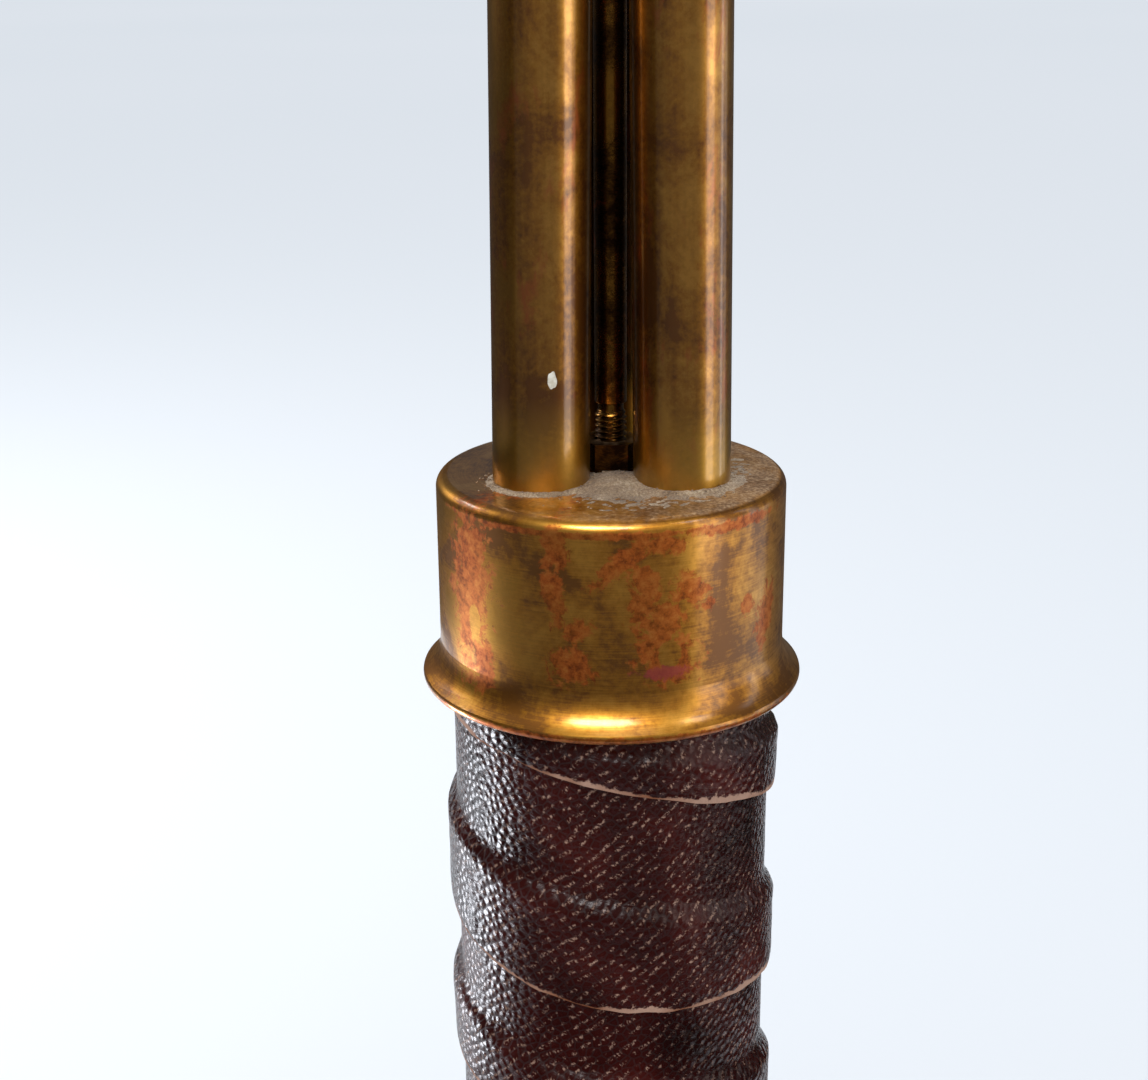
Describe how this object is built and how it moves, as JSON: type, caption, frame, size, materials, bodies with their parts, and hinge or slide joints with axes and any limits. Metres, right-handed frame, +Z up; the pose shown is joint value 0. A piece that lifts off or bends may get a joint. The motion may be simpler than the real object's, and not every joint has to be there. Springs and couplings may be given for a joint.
{
  "type": "three-tube lamp column",
  "caption": "Upright column of three brass tubes in a flared brass collar, over a leather-wrapped grip, with tilting threaded knuckles on top.",
  "frame": {"origin": "centre of the column's flat bottom face", "axes": "+Z up the column, -Y towards the side with two tubes in front, +X to the right"},
  "size_m": [0.0488, 0.0488, 0.3112],
  "materials": {
    "collar_brass": "aged, with copper-red patches",
    "tube_brass": "aged, dark lacquer",
    "rod_brass": "tarnished",
    "fitting_brass": "aged satin",
    "leather": "glazed goatskin",
    "beech": "plain",
    "steel": "plain turned"
  },
  "bodies": {
    "column": {"upper_collar": "collar_brass", "lower_collar": "collar_brass", "tube_front_left": "tube_brass", "tube_front_right": "tube_brass", "tube_rear": "tube_brass", "leather_wrap": "leather", "grip_core": "beech", "inner_pipe": "steel", "tube_plate": "steel", "tube_grub_screws": "steel", "pipe_grub_screws": "steel", "tie_rod": "rod_brass", "collar_nut": "rod_brass", "collar_washer": "rod_brass", "plate_nut": "steel", "plate_washer": "steel", "top_cap": "fitting_brass", "base_socket": "fitting_brass"},
    "fork_front_left": {"clevis_front_left": "fitting_brass", "pivot_pin_front_left": "steel", "stem_clip_front_left": "steel"},
    "head_front_left": {"tongue_front_left": "fitting_brass"},
    "fork_front_right": {"clevis_front_right": "fitting_brass", "pivot_pin_front_right": "steel", "stem_clip_front_right": "steel"},
    "head_front_right": {"tongue_front_right": "fitting_brass"},
    "fork_rear": {"clevis_rear": "fitting_brass", "pivot_pin_rear": "steel", "stem_clip_rear": "steel"},
    "head_rear": {"tongue_rear": "fitting_brass"}
  },
  "joints": [
    {"name": "swivel_front_left", "type": "hinge", "parent": "column", "child": "fork_front_left", "pos_m": [-0.00749, -0.00432, 0.281], "axis": [0, 0, 1], "range_deg": [-90, 90]},
    {"name": "tilt_front_left", "type": "hinge", "parent": "fork_front_left", "child": "head_front_left", "pos_m": [-0.00749, -0.00432, 0.2915], "axis": [0.5, -0.866, 0], "range_deg": [0, 90]},
    {"name": "swivel_front_right", "type": "hinge", "parent": "column", "child": "fork_front_right", "pos_m": [0.00749, -0.00432, 0.281], "axis": [0, 0, 1], "range_deg": [-90, 90]},
    {"name": "tilt_front_right", "type": "hinge", "parent": "fork_front_right", "child": "head_front_right", "pos_m": [0.00749, -0.00432, 0.2915], "axis": [0.5, 0.866, 0], "range_deg": [0, 90]},
    {"name": "swivel_rear", "type": "hinge", "parent": "column", "child": "fork_rear", "pos_m": [0, 0.00864, 0.281], "axis": [0, 0, 1], "range_deg": [-90, 90]},
    {"name": "tilt_rear", "type": "hinge", "parent": "fork_rear", "child": "head_rear", "pos_m": [0, 0.00864, 0.2915], "axis": [-1, 0, 0], "range_deg": [0, 90]}
  ]
}
